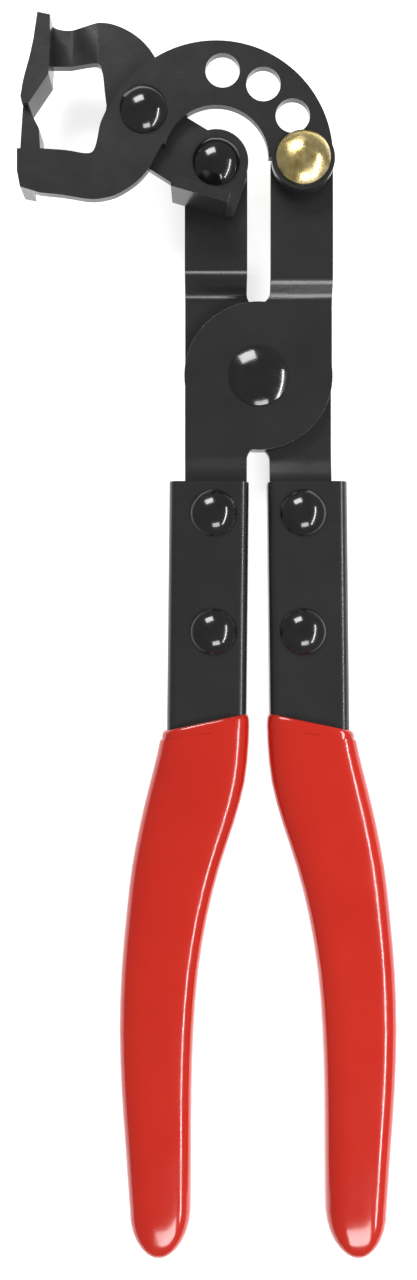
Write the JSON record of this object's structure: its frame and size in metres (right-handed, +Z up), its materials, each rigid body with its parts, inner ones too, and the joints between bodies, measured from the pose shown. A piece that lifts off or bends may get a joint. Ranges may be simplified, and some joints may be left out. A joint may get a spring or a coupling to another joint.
{
  "type": "swivel-head compound pincers",
  "caption": "Compound-lever pincers with chisel jaws on a swivelling holed arc, a pull-out adjuster pin, channel handles and dipped grips.",
  "frame": {"origin": "on the main pivot axis, at the flat rear head of the main rivet that the tool rests on", "axes": "+Y from the grips towards the jaws, +Z up out of the plates towards the domed rivet heads, +X to the right seen from the domed side"},
  "size_m": [0.101, 0.3294, 0.0279],
  "materials": {
    "black_enamel": "semi-gloss black stoved enamel on stamped steel plate",
    "black_rivets": "gloss black enamel on domed steel rivet heads",
    "bare_steel": "plain steel, lightly oiled",
    "red_grip": "glossy red dipped vinyl",
    "brass_head": "polished yellow-plated brass with faint tarnish"
  },
  "bodies": {
    "front_lever": {"front_lever_plate": "black_enamel", "main_pivot_rivet": "black_rivets", "pivot_washer": "bare_steel", "left_channel": "black_enamel", "left_upper_rivet": "black_rivets", "left_lower_rivet": "black_rivets", "left_grip": "red_grip", "pin_boss": "black_enamel"},
    "back_lever": {"back_lever_plate": "black_enamel", "right_channel": "black_enamel", "right_upper_rivet": "black_rivets", "right_lower_rivet": "black_rivets", "right_grip": "red_grip", "tail_rivet": "black_rivets"},
    "upper_jaw_body": {"upper_jaw": "black_enamel", "jaw_rivet": "black_rivets"},
    "lower_jaw_body": {"lower_jaw": "black_enamel"},
    "adjuster_pin": {"pin_head": "brass_head", "pin_shank": "brass_head", "detent_ball": "bare_steel", "detent_spring": "bare_steel"}
  },
  "joints": [
    {"name": "handle_hinge", "type": "hinge", "parent": "front_lever", "child": "back_lever", "pos_m": [0, 0, 0.0075], "axis": [0, 0, 1], "range_deg": [0, 9]},
    {"name": "upper_jaw_hinge", "type": "hinge", "parent": "back_lever", "child": "upper_jaw_body", "pos_m": [-0.0114, 0.0552, 0.0155], "axis": [0, 0, 1], "range_deg": [-47, 0]},
    {"name": "lower_jaw_hinge", "type": "hinge", "parent": "upper_jaw_body", "child": "lower_jaw_body", "pos_m": [-0.03037, 0.06785, 0.0185], "axis": [0, 0, 1], "range_deg": [0, 27.5]},
    {"name": "pin_pull", "type": "slide", "parent": "front_lever", "child": "adjuster_pin", "axis": [0, 0, 1], "range_m": [0, 0.012]}
  ],
  "couplings": [
    {"joint": "upper_jaw_hinge", "follows": "handle_hinge", "ratio": -5.186},
    {"joint": "lower_jaw_hinge", "follows": "handle_hinge", "ratio": 3.0317}
  ]
}
